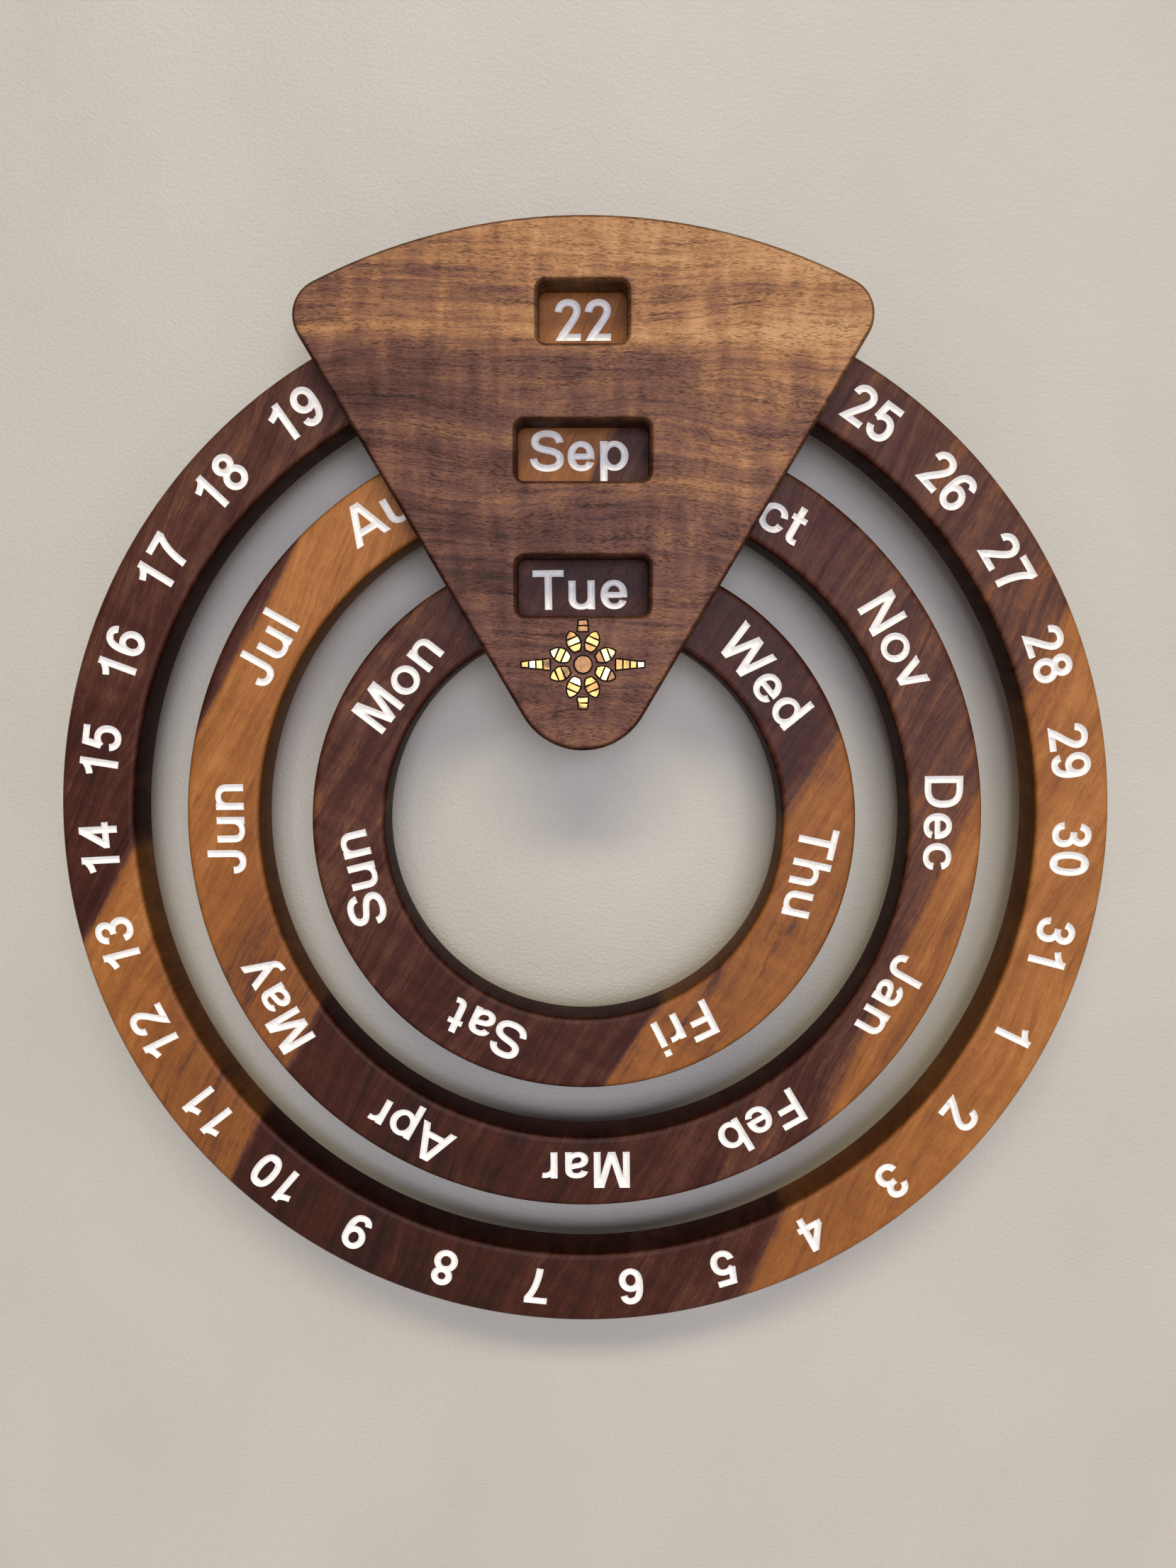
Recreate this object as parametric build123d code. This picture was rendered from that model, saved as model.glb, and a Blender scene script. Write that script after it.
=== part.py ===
from build123d import *
import os
from math import cos, radians, sin, sqrt

# Perpetual wall calendar: three flat wooden rings (dates, months, weekdays) hang behind a
# fan-shaped front board, and the words of the day show in its windows.
# Millimetres and degrees. The wall is the plane Y = 0 and the calendar stands out towards -Y.
# The origin is on the wall, on the centre line, level with the screws that it hangs on.

# Rings
date_outer_radius = 200.0
ring_width = 28.0
ring_gap = 20.0
ring_thickness = 17.0
ring_front_round = 2.2
ring_back_round = 1.0
face_clearance = 1.0
rim_clearance = 0.3

# Front board
board_thickness = 12.0
board_overhang = 18.2
board_half_angle = 30.4
fan_point_height = 4.2
board_corner_radius = 13.0
board_tip_radius = 25.6
board_round = 2.0
board_back_ease = 0.6

# Windows
window_height = 21.0
date_window_width = 32.0
word_window_width = 48.0
window_corner_radius = 3.0
window_drop = 1.0

# Wall board
wall_board_thickness = 12.0
wall_board_inset = 12.0
wall_board_corner_radius = 8.0
wall_board_tip_radius = 16.0
wall_board_ease = 1.0
hang_drop = 30.2

# Saddles: the curved blocks that the rings hang and turn on
saddle_width = 14.0
saddle_corner_radius = 2.5
date_saddle_half_angle = 24.0
month_saddle_half_angle = 22.0
weekday_saddle_half_angle = 18.0

# Saddle screws: their angles either side of the centre line, and their size
date_screw_angles = (7.0, 20.0)
month_screw_angles = (15.0,)
weekday_screw_angles = (10.0,)
screw_radius = 2.0
screw_head_radius = 4.0
screw_head_rim = 0.4
screw_head_depth = 2.6
screw_point = 4.0
screw_bite = 7.0
screw_clearance = 0.1
screw_head_sink = 0.3

# Keyhole hanger plates and their screws
plate_spacing = 76.0
plate_width = 16.0
plate_corner_radius = 6.0
plate_thickness = 1.5
plate_sink = 0.2
plate_fit = 0.15
plate_end = 5.0
keyhole_entry_radius = 4.75
keyhole_neck_width = 4.6
keyhole_drop = 12.0
cavity_width = 11.0
cavity_depth = 5.5
hanger_screw_offset = 9.0
hanger_screw_radius = 1.5
hanger_screw_head_radius = 2.8
hanger_screw_head_rim = 0.2
hanger_screw_head_depth = 1.4
hanger_screw_point = 2.0
hanger_screw_length = 9.0
hanger_screw_clearance = 0.05

# Mosaic
mosaic_height = 60.7
tile_thickness = 1.5
tile_proud = 0.1
tile_gap = 0.35
bed_thickness = 1.0
bed_margin = 0.45
bed_fit = 0.05
centre_tile_radius = 3.2
petal_count = 8
petal_tiles = 3
petal_inner = 5.3
petal_outer = 12.8
petal_widest = 9.2
petal_base_half_width = 1.0
petal_half_width = 2.4
arm_inner = 12.0
arm_half_width = 2.0
arm_taper = 0.11
side_arm_length = 10.4
side_arm_tile_count = 4
upright_arm_length = 4.0
upright_arm_tile_count = 2

# Worked out from the sizes above
month_outer_radius = date_outer_radius - ring_width - ring_gap
weekday_outer_radius = month_outer_radius - ring_width - ring_gap
board_radius = date_outer_radius + board_overhang
hang_height = board_radius - wall_board_inset - hang_drop
ring_depth = wall_board_thickness + face_clearance
saddle_thickness = ring_thickness + 2 * face_clearance
board_depth = wall_board_thickness + saddle_thickness
board_face_depth = board_depth + board_thickness
screw_length = board_depth + screw_bite - screw_head_sink
pocket_depth = bed_thickness + tile_thickness - tile_proud
plate_length = keyhole_drop + 2 * (hanger_screw_offset + plate_end)


def at_depth(depth):
    """A plane parallel to the wall and `depth` in front of it, centred on the rings' axis."""
    return Plane(origin=(0, -depth, -hang_height), x_dir=(1, 0, 0), z_dir=(0, -1, 0))


def slab(outline, depth, thickness):
    """A flat outline made solid, from `depth` in front of the wall to `depth + thickness`."""
    return extrude(at_depth(depth) * outline, amount=thickness)


def polar(radius, angle):
    """The point at `radius` from the rings' axis, `angle` clockwise from straight up."""
    return (radius * sin(radians(angle)), radius * cos(radians(angle)))


def front_edges(solid):
    """The edges of the foremost face."""
    return solid.faces().sort_by(Axis.Y)[0].edges()


def back_edges(solid):
    """The edges of the rearmost face."""
    return solid.faces().sort_by(Axis.Y)[-1].edges()


# Rings and the saddles that carry them


def ring(outer_radius):
    """One flat ring with a rounded front and eased back edges."""
    outline = Circle(outer_radius) - Circle(outer_radius - ring_width)
    body = slab(outline, ring_depth, ring_thickness)
    body = fillet(front_edges(body), ring_front_round)
    return fillet(back_edges(body), ring_back_round)


def saddle_top(outer_radius):
    """The radius of the saddle's rim inside the ring of this outer radius."""
    return outer_radius - ring_width - rim_clearance


def screw_points(outer_radius, angles):
    """Where the screws stand along the middle of a ring's saddle."""
    middle = saddle_top(outer_radius) - saddle_width / 2
    return [polar(middle, side * angle) for angle in angles for side in (-1, 1)]


def saddle(outer_radius, half_angle):
    """The curved block that one ring hangs on, before it is drilled."""
    top = saddle_top(outer_radius)
    bottom = top - saddle_width
    rim = ThreePointArc(polar(top, -half_angle), (0, top), polar(top, half_angle))
    belly = ThreePointArc(polar(bottom, -half_angle), (0, bottom), polar(bottom, half_angle))
    outline = make_face([rim, Line(rim @ 1, belly @ 1), belly, Line(belly @ 0, rim @ 0)])
    outline = fillet(outline.vertices(), saddle_corner_radius)
    return slab(outline, wall_board_thickness, saddle_thickness)


# Screws


def countersunk(radius, head_radius, head_rim, head_depth, length, point):
    """A countersunk screw about the Z axis, its head's face at Z = 0 and its point up at +Z."""
    profile = Polyline(
        (0, 0),
        (head_radius, 0),
        (head_radius, head_rim),
        (radius, head_depth),
        (radius, length - point),
        (0, length),
        close=True,
    )
    return revolve(Plane.XZ * make_face(profile), Axis.Z)


def driven(screw, points, depth):
    """Copies of a screw driven forwards at these points, heads at `depth` in front of the wall."""
    return [at_depth(depth) * Pos(*point) * screw for point in points]


saddle_screw = countersunk(
    screw_radius,
    screw_head_radius,
    screw_head_rim,
    screw_head_depth,
    screw_length,
    screw_point,
)
saddle_screw_hole = countersunk(
    screw_radius + screw_clearance,
    screw_head_radius + screw_clearance,
    screw_head_rim + screw_head_sink,
    screw_head_depth + screw_head_sink,
    screw_length + screw_head_sink + screw_clearance,
    screw_point,
)
hanger_screw = countersunk(
    hanger_screw_radius,
    hanger_screw_head_radius,
    hanger_screw_head_rim,
    hanger_screw_head_depth,
    hanger_screw_length,
    hanger_screw_point,
)
hanger_screw_hole = countersunk(
    hanger_screw_radius + hanger_screw_clearance,
    hanger_screw_head_radius + hanger_screw_clearance,
    hanger_screw_head_rim,
    hanger_screw_head_depth,
    hanger_screw_length + hanger_screw_clearance,
    hanger_screw_point,
)

date_screw_points = screw_points(date_outer_radius, date_screw_angles)
month_screw_points = screw_points(month_outer_radius, month_screw_angles)
weekday_screw_points = screw_points(weekday_outer_radius, weekday_screw_angles)
saddle_screw_points = date_screw_points + month_screw_points + weekday_screw_points
saddle_screw_holes = driven(saddle_screw_hole, saddle_screw_points, 0)


# Hanger plates


def keyhole_seat(side):
    """Where a wall screw's shank comes to rest, on the left or right of the centre line."""
    return Pos(side * plate_spacing / 2, hang_height)


def plate_outline(side, grow):
    """A hanger plate's outline, `grow` larger all round."""
    width = plate_width + 2 * grow
    length = plate_length + 2 * grow
    plate = RectangleRounded(width, length, plate_corner_radius + grow)
    return keyhole_seat(side) * Pos(0, -keyhole_drop / 2) * plate


def cavity_outline(side):
    """The hollow behind a plate that the wall screw's head slides up in."""
    slot = SlotCenterToCenter(keyhole_drop, cavity_width, rotation=90)
    return keyhole_seat(side) * Pos(0, -keyhole_drop / 2) * slot


def hanger_screw_points(side):
    """A plate's two screws, one above the keyhole and one below it."""
    seat = keyhole_seat(side).position
    below = seat.Y - keyhole_drop - hanger_screw_offset
    return [(seat.X, seat.Y + hanger_screw_offset), (seat.X, below)]


def hanger_plate(side):
    """A steel plate with a keyhole: a round entry and a narrow neck up to the seat."""
    neck = SlotCenterToCenter(keyhole_drop, keyhole_neck_width, rotation=90)
    keyhole = Pos(0, -keyhole_drop) * Circle(keyhole_entry_radius) + Pos(0, -keyhole_drop / 2) * neck
    outline = plate_outline(side, 0) - keyhole_seat(side) * keyhole
    body = slab(outline, plate_sink, plate_thickness)
    return body - driven(hanger_screw_hole, hanger_screw_points(side), plate_sink)


# Mosaic


def petal(angle):
    """One leaf-shaped petal of the rosette."""
    base = petal_base_half_width
    left = ThreePointArc((-base, petal_inner), (-petal_half_width, petal_widest), (0, petal_outer))
    right = ThreePointArc((0, petal_outer), (petal_half_width, petal_widest), (base, petal_inner))
    return Rot(0, 0, angle) * make_face([left, right, Line(right @ 1, left @ 0)])


def arm(angle, length):
    """One tapering arm beside the rosette."""
    outer = arm_inner + length
    end = arm_half_width - arm_taper * length
    corners = [(-arm_half_width, arm_inner), (arm_half_width, arm_inner), (end, outer), (-end, outer)]
    return Rot(0, 0, angle) * make_face(Polyline(*corners, close=True))


def joints_between(angle, inner, outer, count):
    """The narrow joints that divide a petal or an arm into `count` tiles."""
    step = (outer - inner) / count
    strips = [Pos(0, inner + step * k) * Rectangle(outer, tile_gap) for k in range(1, count)]
    return [Rot(0, 0, angle) * strip for strip in strips]


petal_angles = [360 / petal_count * (k + 0.5) for k in range(petal_count)]
petals = [petal(angle) for angle in petal_angles]
centre_tile = Circle(centre_tile_radius)
arm_lengths = {0: upright_arm_length, 90: side_arm_length, 180: upright_arm_length, 270: side_arm_length}
arms = {angle: arm(angle, length) for angle, length in arm_lengths.items()}


def tiles(outlines):
    """Tile outlines about the mosaic's centre, made solid on top of the bed."""
    depth = board_face_depth + tile_proud - tile_thickness
    return [slab(Pos(0, mosaic_height) * outline, depth, tile_thickness) for outline in outlines]


def petal_tile_outlines():
    """Every petal, divided across into its tiles."""
    outlines = []
    for angle, outline in zip(petal_angles, petals):
        outlines += (outline - joints_between(angle, petal_inner, petal_outer, petal_tiles)).faces()
    return outlines


def arm_tile_outlines(angle, count):
    """One arm, divided across into its tiles."""
    outer = arm_inner + arm_lengths[angle]
    return list((arms[angle] - joints_between(angle, arm_inner, outer, count)).faces())


def inlays(margin, thickness):
    """Every shape of the mosaic as one slab from the pocket floor, `margin` larger all round."""
    shapes = [centre_tile] + petals + list(arms.values())
    outlines = [Pos(0, mosaic_height) * offset(shape, amount=margin) for shape in shapes]
    return [slab(outline, board_face_depth - pocket_depth, thickness) for outline in outlines]


# Boards


def fan(inset, corner_radius, tip_radius):
    """Two straight sides, a rim about the rings' axis, two rounded corners and a rounded tip."""
    side = radians(board_half_angle)
    radius = board_radius - inset
    point_height = fan_point_height + inset / sin(side)
    reach = sqrt(radius**2 - (point_height * sin(side)) ** 2) - point_height * cos(side)
    right = (reach * sin(side), point_height + reach * cos(side))
    left = (-right[0], right[1])
    point = (0, point_height)
    rim = ThreePointArc(left, (0, radius), right)
    outline = make_face([Line(point, left), rim, Line(right, point)])
    outline = fillet(outline.vertices().sort_by(Axis.Y)[:1], tip_radius)
    return fillet(outline.vertices().sort_by(Axis.Y)[-2:], corner_radius)


def window(outer_radius, width):
    """The hole in front of the ring of this outer radius."""
    height = outer_radius - ring_width / 2 - window_drop
    outline = Pos(0, height) * RectangleRounded(width, window_height, window_corner_radius)
    return slab(outline, board_depth, board_thickness)


def front_board():
    """The fan with its three windows, rounded on the face and pocketed for the mosaic."""
    outline = fan(0, board_corner_radius, board_tip_radius)
    body = slab(outline, board_depth, board_thickness)
    body = chamfer(back_edges(body), board_back_ease)
    body -= window(date_outer_radius, date_window_width)
    body -= window(month_outer_radius, word_window_width)
    body -= window(weekday_outer_radius, word_window_width)
    body = fillet(front_edges(body), board_round)
    return body - inlays(bed_margin, pocket_depth) - saddle_screw_holes


def wall_board():
    """The smaller fan against the wall, let in for the hanger plates."""
    outline = fan(wall_board_inset, wall_board_corner_radius, wall_board_tip_radius)
    body = slab(outline, 0, wall_board_thickness)
    body = chamfer(front_edges(body) + back_edges(body), wall_board_ease)
    seat_depth = plate_sink + plate_thickness
    for side in (-1, 1):
        body -= slab(plate_outline(side, plate_fit), 0, seat_depth)
        body -= slab(cavity_outline(side), seat_depth, cavity_depth)
        body -= driven(hanger_screw_hole, hanger_screw_points(side), plate_sink)
    return body - saddle_screw_holes


# Every sub-part, by name


def group(solids):
    """Separate solids kept together as one sub-part."""
    return Compound(children=list(solids))


upright_arm_outlines = arm_tile_outlines(0, upright_arm_tile_count)
upright_arm_outlines += arm_tile_outlines(180, upright_arm_tile_count)

nodes = {
    "front_board": front_board(),
    "wall_board": wall_board(),
    "date_ring": ring(date_outer_radius),
    "month_ring": ring(month_outer_radius),
    "weekday_ring": ring(weekday_outer_radius),
    "date_saddle": saddle(date_outer_radius, date_saddle_half_angle) - saddle_screw_holes,
    "month_saddle": saddle(month_outer_radius, month_saddle_half_angle) - saddle_screw_holes,
    "weekday_saddle": saddle(weekday_outer_radius, weekday_saddle_half_angle) - saddle_screw_holes,
    "date_saddle_screws": group(driven(saddle_screw, date_screw_points, screw_head_sink)),
    "month_saddle_screws": group(driven(saddle_screw, month_screw_points, screw_head_sink)),
    "weekday_saddle_screws": group(driven(saddle_screw, weekday_screw_points, screw_head_sink)),
    "left_hanger_plate": hanger_plate(-1),
    "right_hanger_plate": hanger_plate(1),
    "left_hanger_screws": group(driven(hanger_screw, hanger_screw_points(-1), plate_sink)),
    "right_hanger_screws": group(driven(hanger_screw, hanger_screw_points(1), plate_sink)),
    "mosaic_bed": group(inlays(bed_margin - bed_fit, bed_thickness)),
    "centre_tile": group(tiles([centre_tile])),
    "rosette_tiles": group(tiles(petal_tile_outlines())),
    "left_arm_tiles": group(tiles(arm_tile_outlines(90, side_arm_tile_count))),
    "right_arm_tiles": group(tiles(arm_tile_outlines(270, side_arm_tile_count))),
    "upright_arm_tiles": group(tiles(upright_arm_outlines)),
}

os.makedirs("parts", exist_ok=True)
for name, solid in nodes.items():
    export_step(solid, f"parts/{name}.step")
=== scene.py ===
import math
import random

import bmesh
import bpy
import numpy as np
from mathutils import Matrix, Vector
from mathutils.geometry import delaunay_2d_cdt


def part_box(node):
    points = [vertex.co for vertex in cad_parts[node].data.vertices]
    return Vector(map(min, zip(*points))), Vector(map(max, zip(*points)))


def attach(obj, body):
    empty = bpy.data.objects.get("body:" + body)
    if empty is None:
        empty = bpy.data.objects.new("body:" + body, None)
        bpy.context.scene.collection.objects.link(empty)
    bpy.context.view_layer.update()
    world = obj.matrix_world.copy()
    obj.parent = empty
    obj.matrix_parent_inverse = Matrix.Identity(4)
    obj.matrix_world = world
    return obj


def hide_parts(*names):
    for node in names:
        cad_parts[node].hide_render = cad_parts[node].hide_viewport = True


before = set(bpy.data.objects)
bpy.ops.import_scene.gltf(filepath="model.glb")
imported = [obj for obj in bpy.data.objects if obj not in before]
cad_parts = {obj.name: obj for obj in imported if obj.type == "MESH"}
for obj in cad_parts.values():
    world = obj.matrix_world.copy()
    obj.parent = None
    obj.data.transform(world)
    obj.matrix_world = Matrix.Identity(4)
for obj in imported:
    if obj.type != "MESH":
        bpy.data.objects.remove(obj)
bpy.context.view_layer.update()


# The room: an off-white wall rolled with a fine orange peel, a pale floor far below, a warm lamp
# overhead and cooler daylight from in front. The wall casts no shadow and is clear from behind, so
# that the back of the calendar is lit too.

MM = 0.001
date_low, date_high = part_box("date_ring")
dial = (date_low + date_high) / 2


def tone(code):
    """A colour written as it looks, such as "8a5f4a", as the shaders want it."""
    parts = [int(code[k : k + 2], 16) / 255 for k in (0, 2, 4)]
    return tuple(((c + 0.055) / 1.055) ** 2.4 if c > 0.04045 else c / 12.92 for c in parts) + (1.0,)


def node(tree, kind, inputs=None, **settings):
    """A node with its settings, and its inputs linked to sockets or set to values."""
    made = tree.nodes.new(kind)
    for key, value in settings.items():
        setattr(made, key, value)
    for key, value in (inputs or {}).items():
        if isinstance(value, bpy.types.NodeSocket):
            tree.links.new(value, made.inputs[key])
        else:
            made.inputs[key].default_value = value
    return made


def math_node(tree, operation, *values):
    """The result of one sum on sockets or numbers."""
    return node(tree, "ShaderNodeMath", dict(enumerate(values)), operation=operation).outputs[0]


def ramp(tree, factor, stops):
    """A colour read off a strip of (place, colour code) stops."""
    made = node(tree, "ShaderNodeValToRGB", {0: factor})
    elements = made.color_ramp.elements
    while len(elements) < len(stops):
        elements.new(0.5)
    for element, (place, code) in zip(elements, stops):
        element.position = place
        element.color = tone(code)
    return made.outputs[0]


def stretched_noise(tree, vector, size, detail=2.0, roughness=0.5, seed=0.0):
    """Cloudy noise whose clouds are `size` long, deep and wide, in the vector's own units."""
    scaled = node(tree, "ShaderNodeVectorMath", {0: vector, 1: size}, operation="DIVIDE").outputs[0]
    settings = {"Vector": scaled, "W": seed, "Detail": detail, "Roughness": roughness, "Scale": 1.0}
    return node(tree, "ShaderNodeTexNoise", settings, noise_dimensions="4D").outputs[0]


def material(name, roughness, **sockets):
    """A material with one Principled shader, its tree and its Object coordinates in mm."""
    made = bpy.data.materials.new(name)
    made.use_nodes = True
    tree = made.node_tree
    surface = tree.nodes["Principled BSDF"]
    surface.inputs["Roughness"].default_value = roughness
    for key, value in sockets.items():
        surface.inputs[key.replace("_", " ")].default_value = value
    place = node(tree, "ShaderNodeTexCoord").outputs["Object"]
    scale = node(tree, "ShaderNodeVectorMath", {0: place, "Scale": 1 / MM}, operation="SCALE")
    return made, tree, surface, scale.outputs[0]


def sheet_piece(name, corners, finish):
    """A flat four-cornered sheet of the room."""
    mesh = bpy.data.meshes.new(name)
    mesh.from_pydata(corners, [], [(0, 1, 2, 3)])
    mesh.materials.append(finish)
    made = bpy.data.objects.new(name, mesh)
    bpy.context.scene.collection.objects.link(made)
    return made


wall_paint, tree, surface, place = material("wall_paint", 0.55)
peel = stretched_noise(tree, place, (1.5, 1.5, 1.3), 1.0, 0.5)
dabs = stretched_noise(tree, place, (90.0, 90.0, 120.0), 2.0)
tint = ramp(tree, dabs, [(0.3, "c0bbae"), (0.7, "c7c2b6")])
tree.links.new(tint, surface.inputs["Base Color"])
bump = node(tree, "ShaderNodeBump", {"Height": peel, "Strength": 0.7, "Distance": 0.45 * MM})
tree.links.new(bump.outputs[0], surface.inputs["Normal"])
behind = node(tree, "ShaderNodeNewGeometry").outputs["Backfacing"]
clear = node(tree, "ShaderNodeBsdfTransparent").outputs[0]
one_sided = node(tree, "ShaderNodeMixShader", {0: behind, 1: surface.outputs[0], 2: clear})
tree.links.new(one_sided.outputs[0], tree.nodes["Material Output"].inputs["Surface"])

room_half_width = 3.0
floor_height = -1.45
ceiling_height = 1.3
wall_gap = 0.3 * MM
wall = sheet_piece(
    "wall",
    [
        (-room_half_width, wall_gap, floor_height),
        (room_half_width, wall_gap, floor_height),
        (room_half_width, wall_gap, ceiling_height),
        (-room_half_width, wall_gap, ceiling_height),
    ],
    wall_paint,
)
wall.visible_shadow = False

floor_paint, tree, surface, place = material("floor_paint", 0.7)
mottle = stretched_noise(tree, place, (60.0, 60.0, 60.0))
tint = ramp(tree, mottle, [(0.3, "c9c4ba"), (0.7, "d0cbc1")])
tree.links.new(tint, surface.inputs["Base Color"])
sheet_piece(
    "floor",
    [
        (-room_half_width, -room_half_width, floor_height),
        (room_half_width, -room_half_width, floor_height),
        (room_half_width, room_half_width, floor_height),
        (-room_half_width, room_half_width, floor_height),
    ],
    floor_paint,
)

world = bpy.data.worlds.new("room_light")
bpy.context.scene.world = world
world.use_nodes = True
tree = world.node_tree
direction = node(tree, "ShaderNodeTexCoord").outputs["Generated"]
bright_side = Vector((0.55, -0.35, 0.76)).normalized()
facing = node(tree, "ShaderNodeVectorMath", {0: direction, 1: bright_side}, operation="DOT_PRODUCT")
spread = {"From Min": -0.2, "From Max": 1.0, "To Min": 0.1, "To Max": 0.36}
spread["Value"] = facing.outputs["Value"]
strength = node(tree, "ShaderNodeMapRange", spread).outputs[0]
seen = node(tree, "ShaderNodeLightPath").outputs["Is Camera Ray"]
room_tone = {0: seen, 6: (0.88, 0.87, 1.1, 1.0), 7: tone("d8d2c6")}
room_tone = node(tree, "ShaderNodeMix", room_tone, data_type="RGBA")
room_level = node(tree, "ShaderNodeMix", {0: seen, 2: strength, 3: 1.0})
background = tree.nodes["Background"]
tree.links.new(room_tone.outputs[2], background.inputs["Color"])
tree.links.new(room_level.outputs[0], background.inputs["Strength"])


def far_light(name, height, side, width, depth, watts, colour):
    """A soft oblong light 8 m away, `height` degrees up and `side` degrees to the right of straight
    ahead of the dial. Seen from there it is `width` by `depth` degrees large."""
    distance = 8.0
    light = bpy.data.lights.new(name, "AREA")
    light.shape = "RECTANGLE"
    light.size = distance * math.radians(width)
    light.size_y = distance * math.radians(depth)
    light.energy = watts
    light.color = colour
    made = bpy.data.objects.new(name, light)
    made.rotation_euler = (math.radians(90 - height), 0.0, math.radians(side))
    made.location = dial + made.rotation_euler.to_matrix() @ Vector((0.0, 0.0, distance))
    bpy.context.scene.collection.objects.link(made)
    return made


far_light(
    "ceiling_light", height=47.5, side=2.0, width=44.0, depth=9.5, watts=362.0,
    colour=(1.0, 0.93, 0.66),
)
far_light(
    "window_light", height=4.0, side=7.0, width=38.0, depth=28.0, watts=345.0,
    colour=(0.83, 0.835, 1.0),
)
rear_light = far_light(
    "rear_light", height=0.0, side=180.0, width=12.0, depth=12.0, watts=480.0,
    colour=(1.0, 0.98, 0.95),
)
rear_light.visible_glossy = False
rear_light.data.cycles.max_bounces = 0

camera_data = bpy.data.cameras.new("camera")
camera_data.lens = 25.0
camera_data.clip_start = 0.01
camera = bpy.data.objects.new("camera", camera_data)
camera.location = (0.0048, -0.4423, -0.1208)
look_down = math.radians(5.47)
look_left = math.radians(0.42)
camera.rotation_euler = (math.pi / 2 - look_down, 0.0, look_left)
bpy.context.scene.collection.objects.link(camera)
bpy.context.scene.camera = camera
bpy.context.scene.view_settings.view_transform = "Standard"


# The front board: one wide piece of oiled black walnut, 12 mm thick, its grain level and crossed
# by curl, light at the head and dark towards the tip. It is screwed on from behind.


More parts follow.
